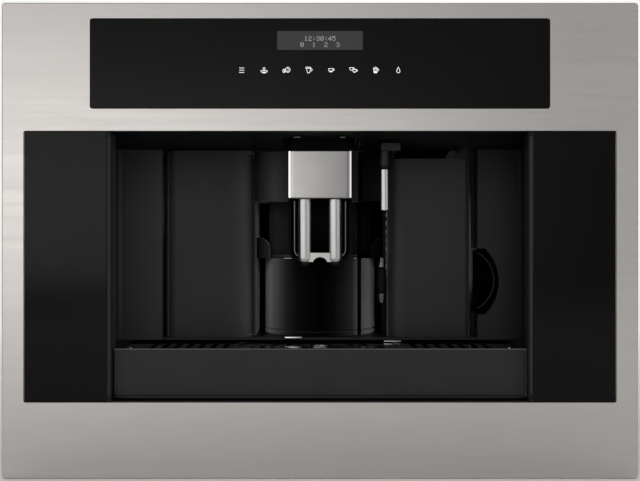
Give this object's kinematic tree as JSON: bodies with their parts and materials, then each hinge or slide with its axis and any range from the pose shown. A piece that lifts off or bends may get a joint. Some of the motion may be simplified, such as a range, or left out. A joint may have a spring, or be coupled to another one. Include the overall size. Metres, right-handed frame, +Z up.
{
  "type": "built-in coffee machine",
  "caption": "Built-in coffee machine: steel front, black glass panel, cup niche with sliding spout, swing-out service door, pull-out water tank and drip tray, on telescopic slides.",
  "frame": {"origin": "middle of the footprint, at the height of the steel front's lower edge", "axes": "+Z up, the steel front faces -Y, +X to the right of a person standing in front"},
  "size_m": [0.595, 0.41, 0.445],
  "materials": {
    "stainless": "fine horizontal brushing, satin",
    "black_glass": "black printed glass, polished",
    "satin_black": "fine satin moulding",
    "gloss_black": "polished black moulding",
    "dark_plastic": "moulded, lightly textured",
    "chrome_plate": "satin chrome plate",
    "zinc_sheet": "zinc coated sheet, dull",
    "clear_plastic": "smoke tinted clear moulding",
    "grid_steel": "polished stamped steel",
    "circuit_board": "solder mask",
    "cast_heater": "raw die casting",
    "white_plastic": "natural moulded"
  },
  "bodies": {
    "rails": {"slide_fixed_left": "zinc_sheet", "slide_fixed_right": "zinc_sheet"},
    "middle_slide_left": {"slide_middle_left": "zinc_sheet"},
    "middle_slide_right": {"slide_middle_right": "zinc_sheet"},
    "machine": {"facade": "stainless", "control_glass": "black_glass", "display_board": "circuit_board", "front_carrier": "dark_plastic", "finger_cup": "satin_black", "niche_ceiling": "satin_black", "niche_floor": "zinc_sheet", "bay_shelf": "zinc_sheet", "fixed_strip": "satin_black", "drum_strip": "gloss_black", "hinge_rod": "zinc_sheet", "hot_connector": "dark_plastic", "side_glass_left": "black_glass", "side_glass_right": "black_glass", "bay_wall_left": "satin_black", "bay_wall_right": "satin_black", "niche_wall_left": "satin_black", "niche_wall_right": "satin_black", "side_cover_left": "zinc_sheet", "side_cover_right": "zinc_sheet", "partition_left": "zinc_sheet", "partition_right": "zinc_sheet", "slide_inner_left": "zinc_sheet", "slide_inner_right": "zinc_sheet", "chassis_base": "zinc_sheet", "top_cover": "zinc_sheet", "rear_cover": "zinc_sheet", "mid_deck": "dark_plastic", "bean_hopper": "clear_plastic", "grinder": "dark_plastic", "ground_chute": "dark_plastic", "grounds_bin": "dark_plastic", "brew_unit": "white_plastic", "water_pump": "zinc_sheet", "water_heater": "cast_heater", "control_board": "circuit_board", "inlet_module": "dark_plastic"},
    "mains_rocker": {"mains_rocker": "satin_black"},
    "hopper_lid": {"hopper_lid": "dark_plastic"},
    "chute_lid": {"chute_lid": "dark_plastic"},
    "grinder_knob": {"grinder_knob": "satin_black"},
    "service_door": {"door_panel": "satin_black", "drum_cover": "gloss_black", "drum_base": "gloss_black", "spout_guide": "dark_plastic"},
    "coffee_spout": {"spout_housing": "chrome_plate", "spout_nozzles": "chrome_plate", "spout_shroud": "satin_black"},
    "hot_spout": {"hot_spout_cap": "dark_plastic", "hot_spout_tube": "chrome_plate"},
    "water_tank": {"tank_front": "satin_black", "tank_body": "clear_plastic", "tank_lid": "dark_plastic"},
    "drip_tray": {"tray_front": "satin_black", "tray_basin": "dark_plastic"},
    "drip_grid": {"drip_grid": "grid_steel"}
  },
  "joints": [
    {"name": "machine_slide", "type": "slide", "parent": "rails", "child": "machine", "axis": [0, -1, 0], "range_m": [0, 0.3]},
    {"name": "middle_slide_left_run", "type": "slide", "parent": "rails", "child": "middle_slide_left", "axis": [0, -1, 0], "range_m": [0, 0.15]},
    {"name": "middle_slide_right_run", "type": "slide", "parent": "rails", "child": "middle_slide_right", "axis": [0, -1, 0], "range_m": [0, 0.15]},
    {"name": "door_hinge", "type": "hinge", "parent": "machine", "child": "service_door", "pos_m": [-0.15, -0.099, 0.22], "axis": [0, 0, -1], "range_deg": [0, 90]},
    {"name": "spout_height", "type": "slide", "parent": "service_door", "child": "coffee_spout", "axis": [0, 0, 1], "range_m": [0, 0.038]},
    {"name": "hot_spout_pull", "type": "slide", "parent": "machine", "child": "hot_spout", "axis": [0, -1, 0], "range_m": [0, 0.03]},
    {"name": "tank_slide", "type": "slide", "parent": "machine", "child": "water_tank", "axis": [0, -1, 0], "range_m": [0, 0.2]},
    {"name": "tray_slide", "type": "slide", "parent": "machine", "child": "drip_tray", "axis": [0, -1, 0], "range_m": [0, 0.22]},
    {"name": "grid_lift", "type": "slide", "parent": "drip_tray", "child": "drip_grid", "axis": [0, 0, 1], "range_m": [0, 0.06]},
    {"name": "hopper_lid_hinge", "type": "hinge", "parent": "machine", "child": "hopper_lid", "pos_m": [-0.201, 0.098, 0.4234], "axis": [-1, 0, 0], "range_deg": [0, 80]},
    {"name": "chute_lid_hinge", "type": "hinge", "parent": "machine", "child": "chute_lid", "pos_m": [0, 0.056, 0.4234], "axis": [-1, 0, 0], "range_deg": [0, 80]},
    {"name": "knob_turn", "type": "hinge", "parent": "machine", "child": "grinder_knob", "pos_m": [-0.1, 0.01, 0.428], "axis": [0, 0, 1], "range_deg": [-120, 120]},
    {"name": "rocker_tilt", "type": "hinge", "parent": "machine", "child": "mains_rocker", "pos_m": [0.1665, 0.199, 0.064], "axis": [-1, 0, 0], "range_deg": [0, 9]}
  ],
  "couplings": [
    {"joint": "middle_slide_left_run", "follows": "machine_slide", "ratio": 0.5},
    {"joint": "middle_slide_right_run", "follows": "machine_slide", "ratio": 0.5}
  ]
}
